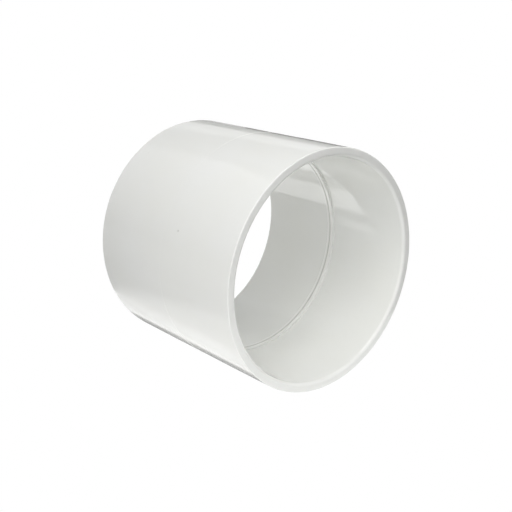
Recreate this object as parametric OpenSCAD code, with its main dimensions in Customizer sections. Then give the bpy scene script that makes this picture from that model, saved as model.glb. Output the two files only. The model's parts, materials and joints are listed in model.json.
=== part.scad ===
// Straight pipe coupling: a plain sleeve with a socket at each end and a low stop ring half way.
// The axis lies along Y, +Z is up, and the origin is the centre of the stop ring.
// Each pipe is pushed into a socket until its end meets the ring.

/* [Pipe and sockets] */
// Outside diameter of the pipe that each socket takes
pipe_d = 110; // [75:0.1:170]
// How much wider the parallel seat is than the pipe, on the diameter
seat_clearance = 0.4; // [0.1:0.1:1]
// Depth of each socket, from the end face to the stop ring
socket_depth = 50; // [40:0.1:80]
// Length of the parallel seat, from the stop ring outwards
seat_length = 25; // [15:1:36]
// How far each socket opens out from the seat to the mouth, on the radius
entry_taper = 0.15; // [0.05:0.05:0.3]

/* [Wall] */
// Wall thickness at the seat
wall = 4.7; // [4:0.1:10]
// How far the outside narrows from mid-length to each end, on the radius
outer_draft = 0.05; // [0.05:0.05:0.3]

/* [Edges of the mouths] */
// Radius of the rounded lead-in inside each mouth
lead_in_r = 1.8; // [0.4:0.1:2]
// Radius of the rounded outer edge of each end face
outer_edge_r = 0.6; // [0.4:0.1:1.2]

/* [Stop ring] */
// Width of the stop ring along the axis
stop_w = 4.6; // [3.2:0.1:12]
// Height of the stop ring above the seat
stop_h = 1.2; // [0.8:0.1:3]
// Radius of the ring's two rounded edges
stop_edge_r = 0.4; // [0.1:0.1:0.5]
// Width of the shallow groove where the mould's two cores met
core_line_w = 2; // [0.4:0.1:2]
// Depth of that groove
core_line_depth = 0.4; // [0.1:0.1:0.6]

/* [Witness line] */
// Width of the fine raised line where the mould's two halves met
witness_w = 0.5; // [0.2:0.1:1]
// Height of that line above the outside
witness_h = 0.06; // [0.02:0.02:0.2]

/* [Hidden] */

arc_steps = 6;
round_fn = 240;

seat_r = (pipe_d + seat_clearance) / 2;
mouth_r = seat_r + entry_taper;
mid_outer_r = seat_r + wall;
end_outer_r = mid_outer_r - outer_draft;
stop_r = seat_r - stop_h;
end_y = stop_w / 2 + socket_depth;
seat_end_y = stop_w / 2 + seat_length;

// Points along a quarter turn or less, from angle a0 to angle a1 about the centre c.
function arc(c, r, a0, a1) =
    [for (i = [0:arc_steps]) let (a = a0 + (a1 - a0) * i / arc_steps) c + r * [cos(a), sin(a)]];

// The same points on the other side of mid-length, without the first and last, which lie on it.
function mirrored(points) =
    [for (i = [len(points) - 2:-1:1]) [points[i].x, -points[i].y]];

// Section of the wall from mid-length to one end: x is the radius and y runs along the axis.
function half_outline() = concat(
    [[stop_r + core_line_depth, 0], [stop_r, core_line_w / 2]],
    arc([stop_r + stop_edge_r, stop_w / 2 - stop_edge_r], stop_edge_r, 180, 90),
    [[seat_r, stop_w / 2], [seat_r, seat_end_y]],
    arc([mouth_r + lead_in_r, end_y - lead_in_r], lead_in_r, 180, 90),
    arc([end_outer_r - outer_edge_r, end_y - outer_edge_r], outer_edge_r, 90, 0),
    [[mid_outer_r, witness_w / 2], [mid_outer_r + witness_h, 0]]
);

module coupling_body() {
    color("#eeeeea")
        rotate([90, 0, 0])
            rotate_extrude($fn = round_fn)
                polygon(concat(half_outline(), mirrored(half_outline())));
}

coupling_body();
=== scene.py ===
"""A plain white PVC pipe coupling, lying on its side on a pale floor in soft studio light.

The sleeve's axis runs along Y, and the floor is under it at the bottom of its box.
"""

import json
import math

import bpy
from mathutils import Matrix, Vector

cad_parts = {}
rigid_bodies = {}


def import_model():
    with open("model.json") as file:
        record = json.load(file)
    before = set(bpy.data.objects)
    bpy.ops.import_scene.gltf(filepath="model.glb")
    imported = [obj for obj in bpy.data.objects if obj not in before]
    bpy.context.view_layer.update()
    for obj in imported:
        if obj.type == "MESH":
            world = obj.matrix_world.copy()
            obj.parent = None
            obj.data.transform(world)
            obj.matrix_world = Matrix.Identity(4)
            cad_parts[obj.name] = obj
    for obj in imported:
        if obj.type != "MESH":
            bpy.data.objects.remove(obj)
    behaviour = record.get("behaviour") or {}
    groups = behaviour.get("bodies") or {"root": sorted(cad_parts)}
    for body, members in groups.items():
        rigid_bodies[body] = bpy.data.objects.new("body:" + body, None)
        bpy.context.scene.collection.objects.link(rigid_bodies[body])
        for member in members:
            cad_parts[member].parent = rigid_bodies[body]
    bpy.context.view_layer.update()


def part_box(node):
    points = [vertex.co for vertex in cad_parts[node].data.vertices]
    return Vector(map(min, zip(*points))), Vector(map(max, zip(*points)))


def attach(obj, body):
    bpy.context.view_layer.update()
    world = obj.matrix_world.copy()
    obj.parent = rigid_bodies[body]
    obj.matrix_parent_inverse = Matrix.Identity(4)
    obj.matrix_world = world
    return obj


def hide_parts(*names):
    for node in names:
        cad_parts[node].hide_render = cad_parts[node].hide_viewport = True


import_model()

low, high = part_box("coupling_body")

MM = 0.001

# Points closer together than this are one point, and the round shape has this many facets.
TINY = 0.001 * MM
TURNS = 288

# The moulding's section: radii from the axis, and distances along it from mid-length.
END = high[1]
SEAT_R = 55.2 * MM
SEAT_END = 27.3 * MM
MOUTH_R = 55.35 * MM
OUTER_MID_R = 59.9 * MM
OUTER_END_R = 59.85 * MM
LEAD_IN_R = 1.8 * MM
OUTER_EDGE_R = 0.6 * MM

# The mould line outside and the groove round the stop ring have the same width.
LINE_HALF = 0.25 * MM

# The mould line, and the shallow sink beside it where the wall is thick.
MOULD_LINE_R = high[0]
MOULD_LINE_ROUND = 0.07 * MM
SINK_HALF = 1.0 * MM
SINK_DEPTH = 0.03 * MM

# The stop ring inside, and the groove round it where the two cores met.
STOP_HALF = 2.3 * MM
STOP_H = 1.2 * MM
STOP_EDGE_R = 0.4 * MM
STOP_FOOT_R = 0.2 * MM
CORE_LINE_DEPTH = 0.4 * MM
CORE_LINE_ROUND = 0.2 * MM

# A further cut, which only adds a row of points on each side of the ring.
SPARE_CUT = 3.2 * MM


# ---------------------------------------------------------------- modelling

def deselect_all():
    """Leaves nothing selected, so that an operator acts on the new piece only."""
    for thing in bpy.context.scene.objects:
        thing.select_set(False)
    bpy.context.view_layer.objects.active = None


def pick_points(piece, wanted):
    """In edit mode, selects the points whose place passes the test, and nothing else."""
    bpy.ops.mesh.select_mode(type="VERT")
    bpy.ops.mesh.select_all(action="DESELECT")
    bpy.ops.object.mode_set(mode="OBJECT")
    for point in piece.data.vertices:
        point.select = wanted(point.co.x, point.co.y)
    bpy.ops.object.mode_set(mode="EDIT")


def shift_points(piece, wanted, outwards):
    """Moves the chosen points of the section away from the axis."""
    pick_points(piece, wanted)
    bpy.ops.transform.translate(value=(outwards, 0, 0))


def round_points(piece, wanted, radius, steps):
    """Rounds the chosen corners of the section."""
    pick_points(piece, wanted)
    bpy.ops.mesh.bevel(offset=radius, offset_type="OFFSET", segments=steps, affect="VERTICES")


def near(value, target):
    """Whether a length is the wanted one, give or take a hundredth of a millimetre."""
    return abs(value - target) < 10 * TINY


def at_end(along):
    """Whether a place along the axis is at either end face."""
    return near(abs(along), END)


def make_sleeve():
    """Draws the wall's section flat beside the axis, then spins it once round."""
    deselect_all()
    bpy.ops.mesh.primitive_plane_add(size=1, location=((OUTER_MID_R + SEAT_R) / 2, 0, 0))
    piece = bpy.context.object
    piece.name = "sleeve"
    piece.scale = (OUTER_MID_R - SEAT_R, 2 * END, 1)
    bpy.ops.object.transform_apply(location=True, rotation=False, scale=True)
    bpy.ops.object.mode_set(mode="EDIT")

    # Each cut goes right through the wall, and leaves points both inside and outside.
    cuts = [SEAT_END, SPARE_CUT, STOP_HALF, SINK_HALF, LINE_HALF]
    for along in [0] + cuts + [-cut for cut in cuts]:
        bpy.ops.mesh.select_all(action="SELECT")
        bpy.ops.mesh.bisect(plane_co=(0, along, 0), plane_no=(0, 1, 0))

    # Inside, each socket opens out towards its mouth, and the stop ring stands in at mid-length.
    shift_points(piece, lambda r, y: near(r, SEAT_R) and at_end(y), MOUTH_R - SEAT_R)
    pick_points(piece, lambda r, y: near(r, SEAT_R) and abs(y) < STOP_HALF + TINY)
    bpy.ops.mesh.extrude_region_move(TRANSFORM_OT_translate={"value": (-STOP_H, 0, 0)})
    stop_r = SEAT_R - STOP_H
    shift_points(piece, lambda r, y: near(r, stop_r) and near(y, 0), CORE_LINE_DEPTH)

    # Outside, the wall narrows a little from the seats' ends to the mouths, and it sinks beside the
    # raised mould line.
    shift_points(piece, lambda r, y: near(r, OUTER_MID_R) and at_end(y),
                 OUTER_END_R - OUTER_MID_R)
    shift_points(piece, lambda r, y: near(r, OUTER_MID_R) and near(abs(y), LINE_HALF),
                 -SINK_DEPTH)
    shift_points(piece, lambda r, y: near(r, OUTER_MID_R) and near(y, 0),
                 MOULD_LINE_R - OUTER_MID_R)

    # Each corner is rounded to its own radius.
    round_points(piece, lambda r, y: near(r, MOUTH_R) and at_end(y), LEAD_IN_R, 10)
    round_points(piece, lambda r, y: near(r, OUTER_END_R) and at_end(y), OUTER_EDGE_R, 8)
    round_points(piece, lambda r, y: near(r, stop_r) and near(abs(y), STOP_HALF), STOP_EDGE_R, 6)
    round_points(piece, lambda r, y: near(r, SEAT_R) and near(abs(y), STOP_HALF), STOP_FOOT_R, 4)
    round_points(piece, lambda r, y: near(r, stop_r + CORE_LINE_DEPTH) and near(y, 0),
                 CORE_LINE_ROUND, 4)
    round_points(piece, lambda r, y: near(r, MOULD_LINE_R) and near(y, 0), MOULD_LINE_ROUND, 3)
    round_points(piece, lambda r, y: near(r, OUTER_MID_R - SINK_DEPTH), MOULD_LINE_ROUND, 3)

    # Only the outline is spun, so the section's faces go first.
    bpy.ops.mesh.select_all(action="SELECT")
    bpy.ops.mesh.dissolve_faces(use_verts=False)
    bpy.ops.mesh.select_all(action="SELECT")
    bpy.ops.mesh.delete(type="ONLY_FACE")
    bpy.ops.mesh.select_all(action="SELECT")
    bpy.ops.mesh.spin(steps=TURNS, angle=math.tau, center=(0, 0, 0), axis=(0, 1, 0))
    bpy.ops.mesh.select_all(action="SELECT")
    bpy.ops.mesh.remove_doubles(threshold=TINY)
    bpy.ops.mesh.select_all(action="SELECT")
    bpy.ops.mesh.normals_make_consistent(inside=False)
    bpy.ops.object.mode_set(mode="OBJECT")
    bpy.ops.object.shade_smooth()

    # The long bands keep their own normals up to the small rounded edges beside them.
    smoothing = piece.modifiers.new("smoothing", "WEIGHTED_NORMAL")
    smoothing.weight = 100
    bpy.ops.object.modifier_apply(modifier=smoothing.name)
    return piece


# ---------------------------------------------------------------- shader maths

class Value:
    """A number that changes over the surface. Arithmetic on it adds Math nodes."""

    def __init__(self, paint, socket):
        self.paint = paint
        self.socket = socket

    def calc(self, operation, *parts):
        """The result of one Math node."""
        return self.paint.node("ShaderNodeMath", {"operation": operation}, parts)

    def __add__(self, other):
        return self.calc("ADD", self, other)

    def __sub__(self, other):
        return self.calc("SUBTRACT", self, other)

    def __rsub__(self, other):
        return self.calc("SUBTRACT", other, self)

    def __mul__(self, other):
        return self.calc("MULTIPLY", self, other)

    def __truediv__(self, other):
        return self.calc("DIVIDE", self, other)

    __radd__ = __add__
    __rmul__ = __mul__


# A Mix node has several sockets of each name, so the ones for colours go by number.
MIX_FACTOR = 0
MIX_FIRST = 6
MIX_SECOND = 7
MIX_RESULT = 2


class Paint:
    """One material, built up from nodes."""

    def __init__(self, name):
        self.material = bpy.data.materials.new(name)
        self.material.use_nodes = True
        self.tree = self.material.node_tree
        self.shader = self.tree.nodes["Principled BSDF"]

    def node(self, kind, settings, inputs, output=0):
        """Adds a node: its settings first, then a value or a link for each socket."""
        made = self.tree.nodes.new(kind)
        for key, value in settings.items():
            if key == "stops":
                self.set_stops(made.color_ramp.elements, value)
            else:
                setattr(made, key, value)
        pairs = inputs.items() if isinstance(inputs, dict) else enumerate(inputs)
        for key, value in pairs:
            self.feed(made.inputs[key], value)
        return Value(self, made.outputs[output])

    def set_stops(self, points, stops):
        """The places and levels of a ramp."""
        while len(points) < len(stops):
            points.new(1)
        for point, (place, level) in zip(points, stops):
            point.position = place
            point.color = (level, level, level, 1)

    def feed(self, socket, value):
        """Links a value to a socket, or sets the socket to a plain number or colour."""
        if isinstance(value, Value):
            self.tree.links.new(value.socket, socket)
        else:
            socket.default_value = value

    def ramp(self, value, *stops):
        """A number run through a ramp of (place, level) stops."""
        return self.node("ShaderNodeValToRGB", {"stops": stops}, [value])

    def mix(self, factor, first, second):
        """A colour between two, by a factor from 0 to 1."""
        return self.node("ShaderNodeMix", {"data_type": "RGBA"},
                         {MIX_FACTOR: factor, MIX_FIRST: first, MIX_SECOND: second},
                         output=MIX_RESULT)

    def place(self):
        """The place on the piece, in metres in its own frame."""
        return self.node("ShaderNodeTexCoord", {}, [], output="Object")

    def part_of(self, place, axis):
        """One of the three numbers of a place."""
        return self.node("ShaderNodeSeparateXYZ", {}, [place], output=axis)

    def scaled(self, place, scale):
        """The same place with each axis scaled, so that a pattern runs longer one way."""
        return self.node("ShaderNodeMapping", {}, {"Vector": place, "Scale": scale})

    def noise(self, place, scale, detail):
        """Cloudy noise, finer with a larger scale."""
        return self.node("ShaderNodeTexNoise", {},
                         {"Vector": place, "Scale": scale, "Detail": detail})


def band(value, centre, half):
    """1 at the centre, falling to 0 at half the width on each side."""
    gap = value.calc("ABSOLUTE", value - centre) / half
    level = 1 - gap
    return level.calc("MAXIMUM", level, 0)


# ---------------------------------------------------------------- white PVC

CLEAN_PVC = (0.850, 0.857, 0.838, 1)
CREAMY_PVC = (0.838, 0.843, 0.807, 1)
SPECK_GREY = (0.40, 0.39, 0.35, 1)
# Painted shade for the groove round the stop ring.
GROOVE_PAINTED_SHADE = (0.40, 0.40, 0.36, 1)
# Painted highlight for the stop ring's edges.
RING_PAINTED_HIGHLIGHT = (0.95, 0.955, 0.93, 1)
# Painted shade for the end faces.
FACE_PAINTED_SHADE = (0.775, 0.78, 0.757, 1)
LARGEST_SPECK = (-55.8 * MM, -10.6 * MM, 21.8 * MM)
PVC_IOR = 1.53

# Ramps run from 0 to 1, so long lengths in millimetres are divided by this before they go in.
RAMP_SPAN = 60


def white_pvc():
    """Glossy moulded PVC: a white that drifts a little, fine scuffs, and a skin like orange peel."""
    paint = Paint("white_pvc")
    place = paint.place()
    x = paint.part_of(place, "X")
    y = paint.part_of(place, "Y")
    z = paint.part_of(place, "Z")
    spread = x * x + z * z
    radius = spread.calc("SQRT", spread) / MM
    along = y.calc("ABSOLUTE", y) / MM

    # Where the surface is the bore, an end face, the stop ring's groove or edges, or the mould line.
    inside = paint.ramp(radius / RAMP_SPAN, (57.0 / RAMP_SPAN, 1), (57.12 / RAMP_SPAN, 0))
    end_face = paint.ramp(along / RAMP_SPAN, (52.02 / RAMP_SPAN, 0), (52.23 / RAMP_SPAN, 1))
    groove_shade = band(along, 0, 0.55) * inside
    ring_highlight = band(along, 1.3, 0.7) * inside
    mould_line = band(along, 0, 0.35) * (1 - inside)

    # Colour: slow drift, faint streaks along the flow, a painted highlight on the stop ring's edges,
    # painted shade in its groove and on the end faces, and a few grey specks in the plastic,
    # with the largest of them on the side that faces the camera.
    drift = paint.ramp(paint.noise(place, 26, 3), (0.35, 0), (0.65, 1))
    streaks = paint.noise(paint.scaled(place, (1, 0.08, 1)), 160, 3)
    grid = {"Vector": place, "Scale": 140}
    cells = paint.node("ShaderNodeTexVoronoi", {}, grid, output="Distance")
    chosen = paint.node("ShaderNodeTexVoronoi", {}, grid, output="Color")
    rare = paint.ramp(chosen, (0.90, 0), (0.91, 1))
    speck = paint.ramp(cells, (0.022, 1), (0.034, 0)) * rare
    colour = paint.mix(drift * 0.6 + streaks * 0.4, CREAMY_PVC, CLEAN_PVC)
    # Painted highlight: the stop ring's edges are made lighter than the rest.
    colour = paint.mix(ring_highlight * 0.9, colour, RING_PAINTED_HIGHLIGHT)
    # Painted shade: a grey band along the groove round the stop ring.
    colour = paint.mix(groove_shade * 0.75, colour, GROOVE_PAINTED_SHADE)
    # Painted shade: the end faces are made darker than the rest.
    colour = paint.mix(end_face, colour, FACE_PAINTED_SHADE)
    to_speck = paint.node("ShaderNodeVectorMath", {"operation": "DISTANCE"},
                          [place, LARGEST_SPECK], output="Value")
    speck = speck.calc("MAXIMUM", speck, paint.ramp(to_speck / MM, (0.28, 1), (0.5, 0)))
    colour = paint.mix(speck * 0.7, colour, SPECK_GREY)

    # Roughness: glossy, with handling scuffs outside and the core's drag marks inside.
    grain = paint.noise(place, 900, 2)
    scuffs = paint.ramp(paint.noise(paint.scaled(place, (0.25, 1, 0.6)), 420, 4),
                        (0.60, 0), (0.72, 1))
    drag = paint.ramp(paint.noise(paint.scaled(place, (1, 0.02, 1)), 700, 3),
                      (0.52, 0), (0.70, 1))
    roughness = (0.03 + 0.02 * grain + 0.05 * scuffs * (1 - inside)
                 + 0.03 * drag * inside + 0.06 * end_face + 0.27 * mould_line)

    # Relief, in millimetres: slow waves, orange peel and the drag marks.
    waves = paint.noise(place, 45, 1)
    peel = paint.noise(place, 330, 2)
    relief = 0.02 * waves + 0.0015 * peel + 0.0002 * drag * inside
    normal = paint.node("ShaderNodeBump", {}, {"Strength": 1.0, "Distance": MM, "Height": relief})

    paint.feed(paint.shader.inputs["Base Color"], colour)
    paint.feed(paint.shader.inputs["Roughness"], roughness)
    paint.feed(paint.shader.inputs["Normal"], normal)
    paint.shader.inputs["IOR"].default_value = PVC_IOR
    return paint.material


# ---------------------------------------------------------------- studio

# The lit floor is a little under the sleeve, and the floor that the camera sees is just above it.
FLOOR_Z = low[2] - 0.6 * MM
FLOOR_REACH = 6.0
SEEN_FLOOR_RISE = 0.5 * MM
WORLD_GLOW = 0.47


def plain_surface(name, colour, roughness):
    """A surface of one colour and one roughness."""
    paint = Paint(name)
    paint.shader.inputs["Base Color"].default_value = (*colour, 1)
    paint.shader.inputs["Roughness"].default_value = roughness
    return paint


def lit_surface(name, glow, colour=(0, 0, 0)):
    """A surface that gives off an even light, over its own matt colour."""
    paint = plain_surface(name, colour, 1)
    paint.shader.inputs["Specular IOR Level"].default_value = 0
    paint.shader.inputs["Emission Color"].default_value = (1, 1, 1, 1)
    paint.shader.inputs["Emission Strength"].default_value = glow
    return paint.material


def direction(azimuth, elevation):
    """The way to a point seen from the sleeve: 0 looks along +Y, 90 along +X."""
    across = math.radians(azimuth)
    up = math.radians(elevation)
    return Vector((math.sin(across) * math.cos(up), math.cos(across) * math.cos(up), math.sin(up)))


def make_sheet(name, corners, material, seen_by_camera):
    """A flat card or a stretch of floor, from its corners."""
    mesh = bpy.data.meshes.new(name)
    mesh.from_pydata(corners, [], [range(len(corners))])
    sheet = bpy.data.objects.new(name, mesh)
    bpy.context.scene.collection.objects.link(sheet)
    mesh.materials.append(material)
    sheet.visible_camera = seen_by_camera
    return sheet


def fading_surface(name, glow, bottom, top, dimmest):
    """A surface whose light grows evenly from one height to another."""
    paint = plain_surface(name, (0, 0, 0), 1)
    height = paint.part_of(paint.place(), "Z")
    level = paint.ramp((height - bottom) / (top - bottom), (0, dimmest), (1, 1))
    paint.feed(paint.shader.inputs["Emission Color"], level)
    paint.shader.inputs["Emission Strength"].default_value = glow
    paint.shader.inputs["Specular IOR Level"].default_value = 0
    return paint.material


def make_card(name, azimuths, elevations, glow, away=1.2, dimmest=None):
    """A softbox between two azimuths and two elevations, in degrees, facing the sleeve's centre.

    With a dimmest level, it fades to that share of its light at its lower edge.
    """
    left, right = azimuths
    bottom, top = elevations
    turn = (left + right) / 2
    tilt = (bottom + top) / 2
    centre = direction(turn, tilt) * away
    aside = direction(turn + 90, 0) * away * math.tan(math.radians(right - left) / 2)
    aside *= math.cos(math.radians(tilt))
    upward = direction(turn, tilt + 90) * away * math.tan(math.radians(top - bottom) / 2)
    corners = [centre - aside - upward, centre + aside - upward,
               centre + aside + upward, centre - aside + upward]
    if dimmest is None:
        material = lit_surface(name, glow)
    else:
        material = fading_surface(name, glow, corners[0].z, corners[2].z, dimmest)
    return make_sheet(name, corners, material, False)


def lay_card(name, outline, glow, colour, above_floor=0.2):
    """A card lying on the floor, its outline and height in millimetres."""
    height = Vector((0, 0, FLOOR_Z + above_floor * MM))
    corners = [Vector((x, y, 0)) * MM + height for x, y in outline]
    return make_sheet(name, corners, lit_surface(name, glow, (colour,) * 3), False)


sleeve = make_sleeve()
sleeve.data.materials.append(white_pvc())
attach(sleeve, "root")
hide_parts("coupling_body")

floor_corners = [Vector((x, y, 0)) * FLOOR_REACH + Vector((0, 0, FLOOR_Z))
                 for x, y in ((-1, -1), (1, -1), (1, 1), (-1, 1))]
bounce_surface = lit_surface("bounce_floor", 0.29, (0.8, 0.8, 0.8))
make_sheet("bounce_floor", floor_corners, bounce_surface, False)

# The key cards light the side that faces the camera. The others light the top, and are mirrored
# along the sleeve's edges and in its bore.
make_card("key_left", (-180, -122), (46, 76), 4.0, away=0.55)
make_card("key_right", (115, 178), (44, 68), 1.1)
make_card("key_low", (-162, -120), (1, 44), 2.05, away=0.55)
make_card("overhead", (-45, 45), (70, 110), 0.5)
make_card("back_strip", (1, 29), (2, 12), 4.5)
make_card("back_mid", (1, 58), (15, 27), 0.76)
make_card("back_haze", (30, 60), (4, 15), 0.28)
make_card("back_low", (30, 40), (-3, 4), 0.5)
make_card("back_flag", (40, 60), (-3, 4), 0.08)
make_card("side_fill", (61, 112), (10, 46), 1.2)
make_card("side_low", (61, 112), (-1, 9), 0.5)
make_card("back_left", (-88, -2), (-3, 55), 0.9, dimmest=0.15)

# A grey stretch of floor behind the sleeve on the left, that grows lighter towards it in bands.
FLAG_EDGE = ((-118, 31), (-91, 76), (-75, 109), (-47, 119))
BAND_X = 2
BAND_Y = -4
lay_card("floor_flag", (*FLAG_EDGE, (-12, 60), (-12, 200), (-20, 1300), (-1500, 1300),
                        (-1500, 31)), 0.4, 0.0)
for step, glow in enumerate((0.45, 0.52, 0.6, 0.68, 0.77, 0.88)):
    inner = [(x + BAND_X * step, y + BAND_Y * step) for x, y in FLAG_EDGE]
    outer = [(x + BAND_X, y + BAND_Y) for x, y in reversed(inner)]
    lay_card("floor_flag_edge", inner + outer, glow, 0.0, above_floor=0.1)

# The rest of the floor: dark in front and on the right, with paler stretches close by and behind.
lay_card("front_floor_flag", ((112, 110), (100, -130), (-60, -160), (-120, -300), (-1500, -320),
                              (-1500, -2000), (2000, -2000), (2000, 1900), (300, 330)), 0.0, 0.02)
lay_card("under_shade", ((-34, -45), (-10, -45), (-10, 57), (-29, 85), (-34, 85)), 0.25, 0.0)
lay_card("side_strip", ((-58, -25), (-35, -45), (-35, 86), (-58, 110)), 0.55, 0.8)
lay_card("bore_glow", ((-11, 58), (23, 58), (23, 200), (-11, 200)), 2.0, 0.0)
lay_card("bore_shade", ((23.5, 58), (47, 58), (47, 200), (23.5, 200)), 0.93, 0.0)
lay_card("side_glow", ((47.5, 58), (110, 58), (110, 200), (47.5, 200)), 2.0, 0.0)

world = bpy.data.worlds.new("studio")
world.use_nodes = True
world.node_tree.nodes["Background"].inputs["Color"].default_value = (1, 1, 1, 1)
world.node_tree.nodes["Background"].inputs["Strength"].default_value = WORLD_GLOW
bpy.context.scene.world = world

# What the camera sees round the sleeve is plain and pale, and doesn't light it.
pale = lit_surface("seen_floor", 1.0)
rise = Vector((0, 0, SEEN_FLOOR_RISE))
upward = Vector((0, 0, FLOOR_REACH))
seen = [make_sheet("seen_floor", [corner + rise for corner in floor_corners], pale, True)]
for first, second in zip(floor_corners, floor_corners[1:] + floor_corners[:1]):
    seen.append(make_sheet("seen_wall", [first, second, second + upward, first + upward],
                           pale, True))
for sheet in seen:
    sheet.visible_diffuse = False
    sheet.visible_glossy = False
    sheet.visible_shadow = False

# The camera stands to the left of the near mouth, higher than the sleeve, and looks down at it.
CAMERA_PLACE = (-0.27897, -0.33068, 0.13276)
CAMERA_DOWN = 17.584
CAMERA_TURN = -40.181
LENS_MM = 61.45
SENSOR_MM = 36

lens = bpy.data.cameras.new("camera")
lens.sensor_width = SENSOR_MM
lens.lens = LENS_MM
lens.clip_start = 0.01
lens.clip_end = 50
camera = bpy.data.objects.new("camera", lens)
camera.location = CAMERA_PLACE
camera.rotation_euler = (math.radians(90 - CAMERA_DOWN), 0, math.radians(CAMERA_TURN))
bpy.context.scene.collection.objects.link(camera)
bpy.context.scene.camera = camera
bpy.context.scene.view_settings.view_transform = "Standard"
